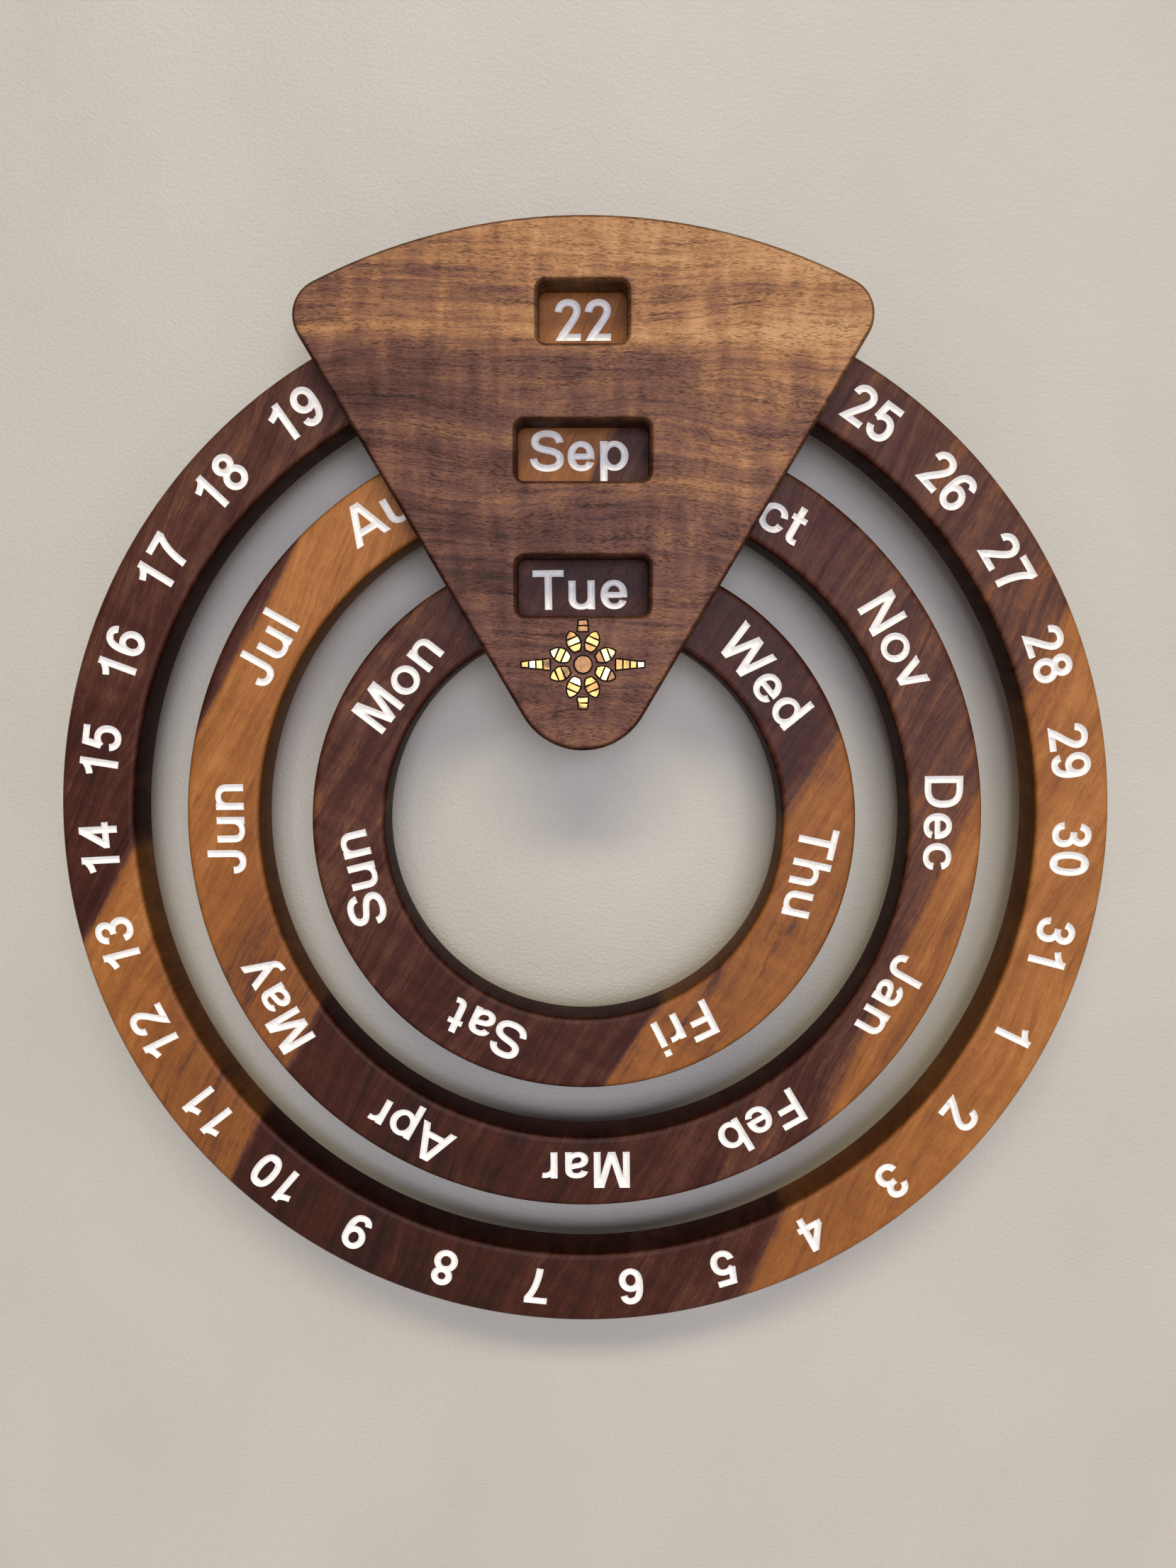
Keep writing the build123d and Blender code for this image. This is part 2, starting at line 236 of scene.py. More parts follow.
def walnut(
    name, grain_angle, bands, tones, seed, follow=1.0, curl=1.0, figure=1.0, open_pores=1.0,
    fan=0.0, drift=0.0, roughness=0.44, rim=(0.4, 0.97),
):
    """Oiled walnut seen on its face. The grain runs at `grain_angle` degrees through the dial's
    middle. `bands` lists (mm across the grain, lightness from 0 to 1) and `tones` the colours.
    `follow` is how far the bands wander with the grain, `curl` how strongly it is crossed,
    `figure` how strong its lines are and `open_pores` how dark its pores. For each mm along the
    grain, `fan` is how much the bands close up and `drift` how much lighter the wood gets, partly
    its own tone and partly painted sheen. The sides and the rounded edges are painted darker,
    partly as oiled end grain and partly as painted shade, fully where a spot faces forward by less
    than the first value of `rim`, from 0 to 1, and not at all past its second."""
    made, tree, surface, _ = material(name, roughness)
    turn = math.radians(grain_angle)
    turning = {
        "Vector": node(tree, "ShaderNodeTexCoord").outputs["Object"],
        "Location": -(Matrix.Rotation(turn, 3, "Y") @ dial) / MM,
        "Rotation": (0.0, turn, 0.0),
        "Scale": (1 / MM,) * 3,
    }
    flat = node(tree, "ShaderNodeMapping", turning).outputs[0]

    def noise(size, detail, roughness=0.55, vector=flat):
        """The next cloudy noise of this wood, in mm along, through and across the grain."""
        return stretched_noise(tree, vector, size, detail, roughness, seed + len(tree.nodes))

    def between(pattern, low, high, start=0.32, end=0.68):
        """A pattern's middle, from `start` to `end`, brought to run from `low` to `high`."""
        limits = {"From Min": start, "From Max": end, "To Min": low, "To Max": high}
        return node(tree, "ShaderNodeMapRange", {"Value": pattern, **limits}).outputs[0]

    # The grain wanders slowly, and curl and small ripples push it to and fro.
    curls = noise((6.5, 60.0, 26.0), 2.0)
    shift = between(noise((95.0, 60.0, 42.0), 1.0), -4.5, 4.5)
    shift = math_node(tree, "ADD", shift, between(curls, -0.3 * curl, 0.3 * curl))
    ripples = noise((7.0, 9.0, 2.4), 1.0)
    shift = math_node(tree, "ADD", shift, between(ripples, -0.22 * curl, 0.22 * curl))
    moved = node(tree, "ShaderNodeCombineXYZ", {"Z": shift}).outputs[0]
    grain = node(tree, "ShaderNodeVectorMath", {0: flat, 1: moved}, operation="ADD").outputs[0]

    # Bands of growth, read off a strip that reaches past the dial on both sides.
    reach = 260.0
    run, _, height = node(tree, "ShaderNodeSeparateXYZ", {0: flat}).outputs
    fanned = math_node(tree, "MULTIPLY", height, math_node(tree, "MULTIPLY_ADD", run, fan, 1.0))
    across = math_node(tree, "MULTIPLY_ADD", shift, follow, fanned)
    strip = math_node(tree, "MULTIPLY_ADD", across, 0.5 / reach, 0.5)
    band = node(tree, "ShaderNodeValToRGB", {0: strip})
    while len(band.color_ramp.elements) < len(bands):
        band.color_ramp.elements.new(0.5)
    for element, (far, light) in zip(band.color_ramp.elements, bands):
        element.position = 0.5 + 0.5 * far / reach
        element.color = (light, light, light, 1.0)

    # On them the finer figure, from broad clouds down to single fibres.
    lines = noise((16.0, 3.0, 0.9), 3.0, 0.65, grain)
    fibres = noise((2.6, 0.8, 0.36), 2.0, 0.6, grain)
    dark_veins = between(noise((26.0, 6.0, 1.5), 2.0, 0.6, grain), 0.0, -0.16 * figure, 0.55, 0.66)
    # The wood grows lighter along the grain by drift: partly its own tone, partly painted sheen
    # from the light on the right.
    light = math_node(tree, "MULTIPLY_ADD", run, drift, band.outputs[0])
    light = math_node(tree, "ADD", light, dark_veins)
    patterns = [
        (noise((120.0, 30.0, 4.2), 3.0, 0.6, grain), 0.2),
        (noise((34.0, 20.0, 15.0), 2.0), 0.12),
        (lines, 0.15 * figure),
        (fibres, 0.17 * figure),
        (curls, 0.2 * curl * figure),
    ]
    for pattern, strength in patterns:
        light = math_node(tree, "ADD", light, between(pattern, -strength / 2, strength / 2))
    colour = ramp(tree, light, tones)

    # Open pores: short dark slots along the grain, more of them in some places than in others.
    cells = node(tree, "ShaderNodeVectorMath", {0: grain, 1: (2.5, 0.37, 0.33)}, operation="DIVIDE")
    pores = node(tree, "ShaderNodeTexVoronoi", {"Vector": cells.outputs[0], "Scale": 1.0})
    size = between(noise((14.0, 6.0, 3.0), 2.0, 0.6, grain), 0.22, 0.54)
    inside = math_node(tree, "SUBTRACT", size, pores.outputs["Distance"])
    pore = between(inside, 0.0, open_pores, 0.0, 0.12)

    # The sides and the rounded edges are painted darker and duller than the face: partly oiled
    # end grain, partly painted shade where they turn away from the light.
    normal = node(tree, "ShaderNodeNewGeometry").outputs["Normal"]
    facing = node(tree, "ShaderNodeSeparateXYZ", {0: normal}).outputs["Y"]
    facing = math_node(tree, "ABSOLUTE", facing)
    edges = {"Value": facing, "From Min": rim[0], "From Max": rim[1], "To Min": 0.36, "To Max": 1.0}
    edges = node(tree, "ShaderNodeMapRange", edges, interpolation_type="SMOOTHSTEP").outputs[0]
    shade = math_node(tree, "MULTIPLY", between(pore, 1.0, 0.5, 0.0, 1.0), edges)
    darkening = {0: 1.0, 6: colour, 7: shade}
    darkened = node(tree, "ShaderNodeMix", darkening, data_type="RGBA", blend_type="MULTIPLY")
    tree.links.new(darkened.outputs[2], surface.inputs["Base Color"])
    sheen = math_node(tree, "MULTIPLY", math_node(tree, "MULTIPLY", edges, edges), 0.17)
    tree.links.new(sheen, surface.inputs["Specular IOR Level"])

    gloss = between(lines, roughness - 0.04, roughness + 0.04)
    tree.links.new(math_node(tree, "MULTIPLY_ADD", pore, 0.2, gloss), surface.inputs["Roughness"])
    relief = math_node(tree, "SUBTRACT", math_node(tree, "MULTIPLY", fibres, 0.4), pore)
    bump = node(tree, "ShaderNodeBump", {"Height": relief, "Strength": 0.5, "Distance": 0.08 * MM})
    tree.links.new(bump.outputs[0], surface.inputs["Normal"])
    return made


def finish(node_name, made):
    """A CAD piece keeps its shape and gets this material."""
    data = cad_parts[node_name].data
    data.materials.clear()
    data.materials.append(made)


board_tones = [
    (0.0, "26140f"),
    (0.22, "482a1f"),
    (0.42, "654034"),
    (0.6, "82583f"),
    (0.8, "ab794e"),
    (1.0, "c89868"),
]
board_bands = [
    (40.0, 0.46),
    (60.0, 0.42),
    (75.0, 0.46),
    (95.0, 0.38),
    (108.0, 0.46),
    (118.5, 0.42),
    (119.5, 0.53),
    (127.0, 0.54),
    (133.0, 0.46),
    (140.0, 0.6),
    (147.0, 0.48),
    (152.0, 0.52),
    (157.0, 0.45),
    (161.0, 0.6),
    (166.0, 0.5),
    (171.0, 0.66),
    (178.0, 0.9),
    (185.0, 0.74),
    (192.0, 0.66),
    (198.0, 0.8),
    (219.0, 0.84),
]
# The board's rounded edge is painted darker in a crisp band: painted shade where it turns away from
# the light.
board_walnut = walnut(
    "board_walnut", -2.0, board_bands, board_tones, 3.0, drift=0.0015, rim=(0.84, 0.998)
)
finish("front_board", board_walnut)


# The date ring: walnut 17 mm thick, 400 mm across, sawn from a panel glued up of dark and light
# strips. Its numbers are V-carved and filled with white paint, and their edges are crisp.

RING_WIDTH = 28.0
FRONT_ROUND = 2.2
BACK_ROUND = 1.0
RING_STEPS = 360
CAP_HEIGHT = 14.7

# The lettering is drawn with capitals 100 high. A pen is half the width of its upright strokes and
# half the height of its level ones, and a groove is as deep as its slope times the way to its edge.
CAPITAL_PEN = (9.2, 8.5)
SMALL_PEN = (9.2, 7.3)
PEN_SPACING = 2.4
GROOVE_SLOPE = 1.05

# Each character's advance width, then its pen path: M and L for corners, C for curves, O for ovals,
# Z to close, and S for a straight stroke with level ends.
characters = {
    "0": (75, "M 37.5 92.5 C 52 92.5 60 77 60 50 C 60 23 52 7.5 37.5 7.5 C 23 7.5 15 23 15 50 "
          "C 15 77 23 92.5 37.5 92.5 Z"),
    "1": (75, "M 46.5 0 L 46.5 100 M 48 91 C 40 82 29 75 14.5 71.5"),
    "2": (75, "M 14.5 69.5 C 16 84 25 92.5 38.5 92.5 C 52.5 92.5 61 84.5 61 73.5 "
          "C 61 56 36.5 34 22.5 9 L 70.5 9"),
    "3": (75, "M 15 71 C 17.5 85 25.5 92.5 36.5 92.5 C 49.5 92.5 57.5 85.5 57.5 75 "
          "C 57.5 63.5 48.5 54.5 34.5 54.5 L 29.5 54.5 M 29.5 54.5 L 34.5 54.5 "
          "C 51.5 54.5 61 45 61 31 C 61 17 51.5 7.5 37 7.5 C 23.5 7.5 15 15.5 13.5 29.5"),
    "4": (75, "M 51 0 L 51 100 M 2.5 31 L 70.5 31 M 50.5 94.5 L 9.5 31"),
    "5": (75, "M 65.5 91 L 23 91 L 16.5 50 M 14.5 49.5 C 20.5 57 28.5 61 37.5 61 "
          "C 52.5 61 61.5 50 61.5 34.5 C 61.5 18.5 51.5 7.5 37 7.5 C 24.5 7.5 15.5 15.5 14 28.5"),
    "6": (75, "O 38 32.3 22.5 24.8 M 15 33 L 15 46 C 15 78 25.5 92.5 41.5 92.5 "
          "C 52 92.5 58.5 86.5 60 75.5"),
    "7": (75, "M 6.5 91 L 69 91 M 61.5 87.5 C 45.5 68 35.5 40 32.5 0"),
    "8": (75, "O 37.5 74 19.5 18.5 O 37.5 30.5 23 23"),
    "9": (75, "O 37 67.7 22.5 24.8 M 60 67 L 60 54 C 60 22 49.5 7.5 33.5 7.5 "
          "C 23 7.5 16.5 13.5 15 24.5"),
    "A": (100, "S 9.7 0 48.2 100 S 90.3 0 51.8 100 M 22 29.5 L 78 29.5"),
    "D": (101, "M 19 91 L 19 9 L 42 9 C 70 9 83 22 83 50 C 83 78 70 91 42 91 Z"),
    "F": (85, "M 79 91 L 19 91 L 19 0 M 19 50.5 L 71 50.5"),
    "J": (78, "M 57.5 100 L 57.5 32 C 57.5 15 50 7.5 37.5 7.5 C 23 7.5 14 15.5 13.5 33"),
    "M": (116, "M 19 0 L 19 100 M 97 0 L 97 100 S 27.6 100 58 0 S 88.4 100 58 0"),
    "N": (101, "M 19 0 L 19 100 M 82 0 L 82 100 S 20.5 100 80.5 0"),
    "O": (109, "O 54.5 50 39.5 42.5"),
    "S": (93, "M 79 70 C 77 85 66 92.5 46.5 92.5 C 28 92.5 16.5 84.5 16.5 72.5 "
          "C 16.5 59 29 55.5 46 52 C 66 48 80 43.5 80 29 C 80 15.5 67.5 7.5 47.5 7.5 "
          "C 27 7.5 14.5 15.5 12.5 31.5"),
    "T": (85, "M 3 91 L 82 91 M 42.5 0 L 42.5 95"),
    "W": (132, "S 11 100 35.5 0 S 35.5 0 66 100 S 66 100 96.5 0 S 96.5 0 121 100"),
    "a": (78, "M 15 52.5 C 17 61.5 24 65.5 37 65.5 C 50 65.5 57.5 60.5 57.5 49 L 57.5 0 M 58 42 "
          "C 50 39.5 40 38.5 31.5 37 C 20.5 35 14 30 14 20.5 C 14 12 20.5 6.8 31 6.8 "
          "C 46 6.8 58 16 58 30"),
    "b": (85, "M 18.5 0 L 18.5 100 O 45 36.2 26.5 29.6"),
    "c": (78, "M 66.5 47 C 64 59 55.5 65.8 42.5 65.8 C 25.5 65.8 14.5 54 14.5 36.2 "
          "C 14.5 18.5 25.5 6.6 42.5 6.6 C 56 6.6 65 13.5 67 26.5"),
    "d": (85, "M 66.5 0 L 66.5 100 O 40 36.2 26.5 29.6"),
    "e": (78, "M 63.7 29 L 63.7 36 C 63.7 54.5 54 65.8 39.5 65.8 C 24.5 65.8 14.5 54 14.5 36.2 "
          "C 14.5 18 24.5 6.6 40.5 6.6 C 52 6.6 59.5 11.5 62.5 21.5 M 18 35.5 L 60 35.5"),
    "g": (85, "M 66.5 72.5 L 66.5 -3 C 66.5 -16 58 -22.5 42.5 -22.5 C 29 -22.5 20.5 -18.5 18 -9 "
          "O 40 36.6 26 29.2"),
    "h": (85, "M 18.5 0 L 18.5 100 M 18.5 44 C 20 57 30 65.8 44 65.8 C 58.5 65.8 67 58.5 67 44 "
          "L 67 0"),
    "i": (39, "M 19.5 0 L 19.5 72.5 M 19.5 83 L 19.5 100"),
    "l": (39, "M 19.5 0 L 19.5 100"),
    "n": (85, "M 18.5 0 L 18.5 72.5 M 18.5 44 C 20 57 30 65.8 44 65.8 C 58.5 65.8 67 58.5 67 44 "
          "L 67 0"),
    "o": (85, "O 42.5 36.2 28.5 29.6"),
    "p": (85, "M 18.5 -28.5 L 18.5 72.5 O 45 36.2 26.5 29.6"),
    "r": (54, "M 18.5 0 L 18.5 72.5 M 18.5 42 C 20.5 58 31 66 50.5 63.5"),
    "t": (46, "M 21.5 95 L 21.5 20 C 21.5 10.5 26 7 34 7 L 43.5 8 M 3.5 65 L 43.5 65"),
    "u": (85, "M 66.5 72.5 L 66.5 0 M 18 72.5 L 18 28.5 C 18 14 26.5 6.7 41 6.7 "
          "C 55 6.7 65 15.5 66.5 28.5"),
    "v": (78, "S 11 72.5 38.8 0 S 66.6 72.5 38.8 0"),
    "y": (78, "S 11 72.5 39.5 0 S 66.6 72.5 41.5 2 M 43 6 L 38 -8 C 33.5 -19.5 26 -22.5 12 -21.5"),
}


def pen_strokes(path):
    """The strokes of one character, as (points, whether closed, whether its ends are level)."""
    words = path.split()
    strokes = []
    place = 0

    def numbers(count):
        nonlocal place
        taken = [float(word) for word in words[place : place + count]]
        place += count
        return np.array(taken).reshape(-1, 2)

    def bend(start, one, two, end):
        """Evenly spaced points of a cubic curve, without its first."""
        length = sum(np.linalg.norm(b - a) for a, b in ((start, one), (one, two), (two, end)))
        steps = max(3, round(length / PEN_SPACING))
        t = np.linspace(0, 1, steps + 1)[1:, None]
        early = start * (1 - t) ** 3 + 3 * one * t * (1 - t) ** 2
        return list(early + 3 * two * t * t * (1 - t) + end * t**3)

    while place < len(words):
        word = words[place]
        place += 1
        if word == "M":
            strokes.append([list(numbers(2)), False, False])
        elif word == "L":
            strokes[-1][0] += list(numbers(2))
        elif word == "C":
            one, two, end = numbers(6)
            strokes[-1][0] += bend(strokes[-1][0][-1], one, two, end)
        elif word == "Z":
            strokes[-1][1] = True
            if np.allclose(strokes[-1][0][0], strokes[-1][0][-1]):
                strokes[-1][0].pop()
        elif word == "O":
            centre, size = numbers(4)
            steps = round(math.pi * size.sum() / PEN_SPACING)
            turn = np.linspace(0, 2 * math.pi, steps, endpoint=False)
            oval = centre + size * np.stack([np.cos(turn), np.sin(turn)], 1)
            strokes.append([list(oval), True, False])
        elif word == "S":
            strokes.append([list(numbers(4)), False, True])
    return strokes


def stroke_outlines(points, closed, level, pen):
    """A stroke's outline with its pen: one loop, or an outer and an inner one if it is closed."""
    points = np.array(points)
    if level:
        run = points[1] - points[0]
        half = np.array([pen[0] * np.linalg.norm(run) / abs(run[1]), 0.0])
        return [np.array([points[0] - half, points[0] + half, points[1] + half, points[1] - half])]
    runs = np.diff(points, axis=0, append=points[:1])
    if not closed:
        runs[-1] = runs[-2]
    runs /= np.linalg.norm(runs, axis=1)[:, None]
    before = np.roll(runs, 1, axis=0)
    if not closed:
        before[0] = runs[0]
    sides = []
    for side in (1, -1):
        first = side * before[:, ::-1] * (-pen[0], pen[1])
        second = side * runs[:, ::-1] * (-pen[0], pen[1])
        cross = before[:, 0] * runs[:, 1] - before[:, 1] * runs[:, 0]
        gap = second - first
        reach = gap[:, 0] * runs[:, 1] - gap[:, 1] * runs[:, 0]
        corner = np.abs(cross) > 0.03
        slide = np.where(corner, reach / np.where(corner, cross, 1.0), 0.0)
        middle = np.where(corner[:, None], first + slide[:, None] * before, (first + second) / 2)
        sides.append(points + middle)
    if closed:
        return sides
    return [np.concatenate([sides[0], sides[1][::-1]])]


def area(loop):
    """The signed area of a loop, positive if it runs anticlockwise."""
    ahead = np.roll(loop, -1, axis=0)
    return 0.5 * np.sum(loop[:, 0] * ahead[:, 1] - loop[:, 1] * ahead[:, 0])


def fill(loops, loose=()):
    """Triangles over the loops and the loose points. Returns the points and, for each triangle,
    its corners and the numbers of the loops that it lies in."""
    points = [Vector(p) for loop in loops for p in loop] + [Vector(p) for p in loose]
    faces = []
    start = 0
    for loop in loops:
        ring = list(range(start, start + len(loop)))
        faces.append(ring if area(loop) > 0 else ring[::-1])
        start += len(loop)
    made = delaunay_2d_cdt(points, [], faces, 0, 1e-6, True)
    return np.array([p[:] for p in made[0]]), list(zip(made[2], made[5]))


def rims(triangles):
    """The outlines of a set of triangles, as loops of point numbers with the inside on the left."""
    ways = {(a, b) for t in triangles for a, b in zip(t, t[1:] + t[:1])}
    ahead = {}
    for a, b in sorted(ways):
        if (b, a) not in ways:
            ahead.setdefault(a, []).append(b)
    loops = []
    while ahead:
        loop = [next(iter(ahead))]
        while loop[-1] in ahead:
            onward = ahead[loop[-1]]
            if len(onward) == 1:
                del ahead[loop[-1]]
            loop.append(onward.pop())
        loops.append(loop[:-1])
    return loops


def even_out(loop):
    """A loop whose points stand about as far apart as the pen's, with its corners kept."""
    ahead = np.roll(loop, -1, axis=0) - loop
    length = np.linalg.norm(ahead, axis=1)
    heading = np.arctan2(ahead[:, 1], ahead[:, 0])
    turn = np.abs((heading - np.roll(heading, 1) + math.pi) % (2 * math.pi) - math.pi)
    corner = turn > 0.3
    apart = np.roll(length, 1) > 0.45 * PEN_SPACING
    kept = list(loop[corner | apart])
    made = []
    for start, end in zip(kept, kept[1:] + kept[:1]):
        steps = max(1, math.ceil(np.linalg.norm(end - start) / PEN_SPACING - 0.2))
        made += [start + (end - start) * k / steps for k in range(steps)]
    return np.array(made)


def distance_to(points, loops):
    """How far each point is from the nearest side of the loops."""
    starts = np.concatenate(loops)
    runs = np.concatenate([np.roll(loop, -1, axis=0) for loop in loops]) - starts
    offset = points[:, None] - starts[None]
    share = np.clip(np.sum(offset * runs, 2) / np.sum(runs * runs, 1), 0, 1)
    return np.linalg.norm(offset - share[..., None] * runs, axis=2).min(axis=1)


def carving(character):
    """One character's V-groove: its outline loops, and its points, their depths and triangles."""
    _, path = characters[character]
    pen = SMALL_PEN if character.islower() else CAPITAL_PEN
    loops, owner = [], []
    for number, stroke in enumerate(pen_strokes(path)):
        for loop in stroke_outlines(*stroke, pen):
            loops.append(loop)
            owner.append(number)

    # The strokes overlap, so the outline goes round all that lies in any of them. What lies in both
    # loops of a closed stroke is the hole in its middle.
    closed = {number for number in owner if owner.count(number) == 2}
    points, triangles = fill(loops)

    def covered(lies_in):
        """True if a triangle that lies in these loops is part of the character."""
        numbers = [owner[k] for k in set(lies_in)]
        return any(numbers.count(n) == 1 for n in set(numbers)) if closed else bool(numbers)

    solid = [t for t, lies_in in triangles if lies_in and covered(lies_in)]
    outline = [even_out(points[loop]) for loop in rims(solid)]

    # The valley line runs through the middles of the circles that touch the outline on both sides.
    points, triangles = fill(outline)
    corners = np.array([points[t] for t, lies_in in triangles if len(lies_in) % 2])
    a, b, c = corners[:, 0], corners[:, 1] - corners[:, 0], corners[:, 2] - corners[:, 0]
    twice = 2 * (b[:, 0] * c[:, 1] - b[:, 1] * c[:, 0])
    bb, cc = np.sum(b * b, 1), np.sum(c * c, 1)
    reach = np.stack([c[:, 1] * bb - b[:, 1] * cc, b[:, 0] * cc - c[:, 0] * bb], 1) / twice[:, None]
    middle = a + reach
    depth = distance_to(middle, outline)
    valley = []
    for k in np.argsort(-depth):
        radius = np.linalg.norm(reach[k])
        fits = max(0.8, 0.98 * radius) < depth[k] < 1.02 * radius
        if fits and all(np.linalg.norm(middle[k] - p) > 0.5 * PEN_SPACING for p in valley):
            valley.append(middle[k])

    points, triangles = fill(outline, valley)
    faces = [t for t, lies_in in triangles if len(lies_in) % 2]
    depth = distance_to(points, outline)
    depth[depth < 0.05] = 0.0
    return outline, points, depth * GROOVE_SLOPE, faces


carvings = {}


def set_out(text, angle, middle_radius):
    """Where the characters of one word go on a ring: (character, turn and size, shift in mm)."""
    unit = CAP_HEIGHT / 100
    total = sum(characters[c][0] for c in text)
    outward = math.radians(angle - 90)
    cos, sin = math.cos(outward), math.sin(outward)
    rotate = np.array([[cos, -sin], [sin, cos]])
    placed = []
    at = -total / 2
    for c in text:
        shift = rotate @ (at * unit, middle_radius - CAP_HEIGHT / 2)
        placed.append((c, rotate * unit, shift))
        at += characters[c][0]
    return placed


def carved_ring(name, node_name, placed, wood, paint):
    """A ring with rounded edges and its characters carved into its face."""
    low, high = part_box(node_name)
    outer = (high.x - low.x) / 2 / MM
    inner = outer - RING_WIDTH
    front, back = -low.y / MM, -high.y / MM
    centre = (low + high) / 2
    turns = np.linspace(0, 2 * math.pi, RING_STEPS, endpoint=False)
    circle = np.stack([np.cos(turns), np.sin(turns)], 1)

    # The flat of the face, with a hole for each character, and the grooves that fill the holes.
    loops = [circle * (outer - FRONT_ROUND), circle * (inner + FRONT_ROUND)]
    grooves = []
    for character, rotate, shift in placed:
        if character not in carvings:
            carvings[character] = carving(character)
        outline, points, depth, faces = carvings[character]
        loops += [loop @ rotate.T + shift for loop in outline]
        grooves.append((points @ rotate.T + shift, front - depth * CAP_HEIGHT / 100, faces))

    model = bmesh.new()

    def add(points, depths, faces, slot, smooth):
        """Faces from flat points and how far each stands off the wall."""
        made = []
        for (x, z), depth in zip(points, depths):
            made.append(model.verts.new((centre.x + x * MM, -depth * MM, centre.z + z * MM)))
        for corners in faces:
            face = model.faces.new([made[k] for k in corners])
            face.material_index = slot
            face.smooth = smooth

    points, triangles = fill(loops)
    flat = [t for t, lies_in in triangles if len(lies_in) % 2]
    add(points, [front] * len(points), flat, 0, False)
    for points, depths, faces in grooves:
        add(points, depths, faces, 1, True)

    # The rounded edges, the sides and the back: half the section, mirrored and carried round.
    edge = [(outer - FRONT_ROUND * (1 - math.sin(t)), front - FRONT_ROUND * (1 - math.cos(t)))
            for t in np.linspace(0, math.pi / 2, 7)]
    edge += [(outer - BACK_ROUND * (1 - math.cos(t)), back + BACK_ROUND * (1 - math.sin(t)))
             for t in np.linspace(0, math.pi / 2, 5)]
    section = edge + [(inner + outer - radius, depth) for radius, depth in reversed(edge)]
    count = len(section)
    points = np.concatenate([circle * radius for radius, _ in section])
    depths = np.repeat([depth for _, depth in section], RING_STEPS)
    faces = []
    for row in range(count - 1):
        for k in range(RING_STEPS):
            ahead = (k + 1) % RING_STEPS
            faces.append((row * RING_STEPS + k, row * RING_STEPS + ahead,
                          (row + 1) * RING_STEPS + ahead, (row + 1) * RING_STEPS + k))
    add(points, depths, faces, 0, True)

    bmesh.ops.remove_doubles(model, verts=model.verts, dist=0.002 * MM)
    bmesh.ops.recalc_face_normals(model, faces=model.faces)
    mesh = bpy.data.meshes.new(name)
    model.to_mesh(mesh)
    model.free()
    mesh.materials.append(wood)
    mesh.materials.append(paint)
    mesh.set_sharp_from_angle(angle=math.radians(28))
    for face in mesh.polygons:
        face.use_smooth = face.normal.y > -0.9999
    made = bpy.data.objects.new(name, mesh)
    bpy.context.scene.collection.objects.link(made)
    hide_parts(node_name)
    return made


white_paint, tree, surface, place = material("white_paint", 0.38, Specular_IOR_Level=0.5)
specks = stretched_noise(tree, place, (0.9, 0.9, 0.9), 3.0)
tint = ramp(tree, specks, [(0.24, "a3917c"), (0.31, "f1ede6"), (0.6, "fbf9f5")])
tree.links.new(tint, surface.inputs["Base Color"])
strokes = stretched_noise(tree, place, (0.5, 0.5, 0.5), 2.0)
bump = node(tree, "ShaderNodeBump", {"Height": strokes, "Strength": 0.3, "Distance": 0.08 * MM})
tree.links.new(bump.outputs[0], surface.inputs["Normal"])

ring_tones = [
    (0.0, "1a0a06"),
    (0.2, "2f150d"),
    (0.36, "441f14"),
    (0.48, "563224"),
    (0.55, "653f2c"),
    (0.6, "7a4826"),
    (0.82, "9a602e"),
    (1.0, "b2763f"),
]
panel_bands = [
    (-215.0, 0.92),
    (-134.5, 0.76),
    (-131.5, 0.46),
    (-110.0, 0.45),
    (-80.0, 0.42),
    (-45.0, 0.38),
    (10.0, 0.34),
    (56.0, 0.38),
    (59.0, 0.7),
    (100.0, 0.76),
    (122.0, 0.88),
    (144.0, 0.9),
    (147.0, 0.38),
    (180.0, 0.42),
    (215.0, 0.42),
]
panel_angle = 63.7
# The panel grows lighter towards the upper right: partly its own tone, partly painted sheen from
# the light on the right.
panel_walnut = walnut(
    "panel_walnut", panel_angle, panel_bands, ring_tones, 11.0,
    follow=0.1, curl=0.55, figure=0.6, open_pores=0.3, fan=0.00038, drift=0.00045,
)

date_on_show = 22
date_angle = 90.06
date_step = 360 / 31
date_radius = 186.0
dates = []
for number in range(1, 32):
    angle = date_angle - (number - date_on_show) * date_step
    dates += set_out(str(number), angle, date_radius)
date_ring = carved_ring("date_ring_carved", "date_ring", dates, panel_walnut, white_paint)
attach(date_ring, "dates")


# The month ring: the next ring in, 304 mm across, sawn from the same panel and carved with the
# twelve months. Names with a tail stand a little further out, so that the tail stays on the ring.

month_on_show = 9
month_angle = 90.6
month_radius = 137.0
tailed_month_radius = 139.5
month_names = ["Jan", "Feb", "Mar", "Apr", "May", "Jun", "Jul", "Aug", "Sep", "Oct", "Nov", "Dec"]
months = []
for number, text in enumerate(month_names, 1):
    has_tail = any(c in "gpy" for c in text)
    radius = tailed_month_radius if has_tail else month_radius
    months += set_out(text, month_angle - (number - month_on_show) * 30, radius)
month_ring = carved_ring("month_ring_carved", "month_ring", months, panel_walnut, white_paint)
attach(month_ring, "months")


# The weekday ring: the innermost, 208 mm across, sawn from the middle of the same panel and
# turned half round, so that its light strip stands on the other side.

